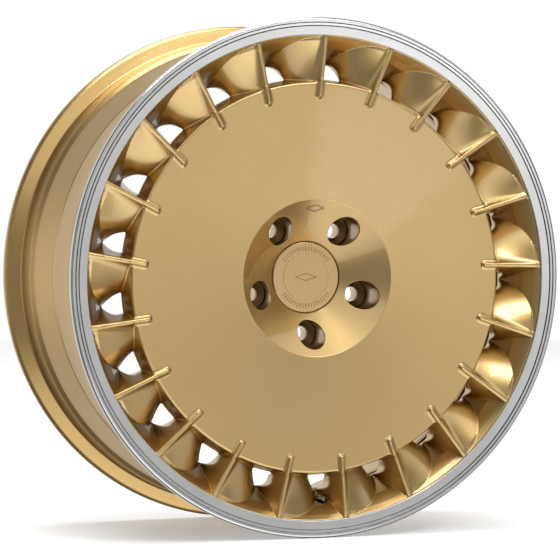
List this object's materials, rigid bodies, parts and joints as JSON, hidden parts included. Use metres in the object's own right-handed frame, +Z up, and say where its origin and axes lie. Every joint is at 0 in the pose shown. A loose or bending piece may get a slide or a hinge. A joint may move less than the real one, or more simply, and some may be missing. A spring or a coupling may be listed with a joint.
{
  "type": "wheel rim",
  "caption": "Forged multi-piece racing wheel with a flat turbofan disc, slanted air-extractor blades, a polished lip, a deep barrel and a pull-out centre cap.",
  "frame": {"origin": "middle of the wheel on its axle, halfway between the two flanges", "axes": "+Y along the axle towards the car, -Y out of the street face, +Z up, +X to the right as seen from the street"},
  "size_m": [0.5158, 0.24, 0.5158],
  "materials": {
    "gold_paint": "satin metallic gold paint on forged aluminium",
    "gold_barrel": "satin metallic gold paint on spun aluminium",
    "polished_lip": "machined and polished, fine turning marks",
    "sealant": "cured silicone",
    "bolt_steel": "zinc plated",
    "washer_steel": "zinc plated",
    "seat_steel": "turned conical seat",
    "nylon": "moulded",
    "gold_cap": "painted to match the wheel",
    "gold_badge": "painted plate with a plain raised pattern",
    "spring_steel": "oiled wire",
    "rubber": "smooth"
  },
  "bodies": {
    "wheel": {"wheel_centre": "gold_paint", "outer_rim_half": "polished_lip", "inner_rim_half": "gold_barrel", "joint_seal": "sealant", "hub_centring_ring": "nylon", "assembly_bolt_1": "bolt_steel", "assembly_bolt_2": "bolt_steel", "assembly_bolt_3": "bolt_steel", "assembly_bolt_4": "bolt_steel", "assembly_bolt_5": "bolt_steel", "assembly_bolt_6": "bolt_steel", "assembly_bolt_7": "bolt_steel", "assembly_bolt_8": "bolt_steel", "assembly_bolt_9": "bolt_steel", "assembly_bolt_10": "bolt_steel", "assembly_bolt_11": "bolt_steel", "assembly_bolt_12": "bolt_steel", "assembly_bolt_13": "bolt_steel", "assembly_bolt_14": "bolt_steel", "assembly_bolt_15": "bolt_steel", "assembly_bolt_16": "bolt_steel", "assembly_bolt_17": "bolt_steel", "assembly_bolt_18": "bolt_steel", "assembly_bolt_19": "bolt_steel", "assembly_bolt_20": "bolt_steel", "assembly_bolt_21": "bolt_steel", "bolt_washer_1": "washer_steel", "bolt_washer_2": "washer_steel", "bolt_washer_3": "washer_steel", "bolt_washer_4": "washer_steel", "bolt_washer_5": "washer_steel", "bolt_washer_6": "washer_steel", "bolt_washer_7": "washer_steel", "bolt_washer_8": "washer_steel", "bolt_washer_9": "washer_steel", "bolt_washer_10": "washer_steel", "bolt_washer_11": "washer_steel", "bolt_washer_12": "washer_steel", "bolt_washer_13": "washer_steel", "bolt_washer_14": "washer_steel", "bolt_washer_15": "washer_steel", "bolt_washer_16": "washer_steel", "bolt_washer_17": "washer_steel", "bolt_washer_18": "washer_steel", "bolt_washer_19": "washer_steel", "bolt_washer_20": "washer_steel", "bolt_washer_21": "washer_steel", "lug_seat_1": "seat_steel", "lug_seat_2": "seat_steel", "lug_seat_3": "seat_steel", "lug_seat_4": "seat_steel", "lug_seat_5": "seat_steel"},
    "cap": {"cap_shell": "gold_cap", "cap_badge_plate": "gold_badge", "cap_spring_ring": "spring_steel", "cap_o_ring": "rubber"}
  },
  "joints": [
    {"name": "cap_pull", "type": "slide", "parent": "wheel", "child": "cap", "axis": [0, -1, 0], "range_m": [0, 0.025]}
  ]
}
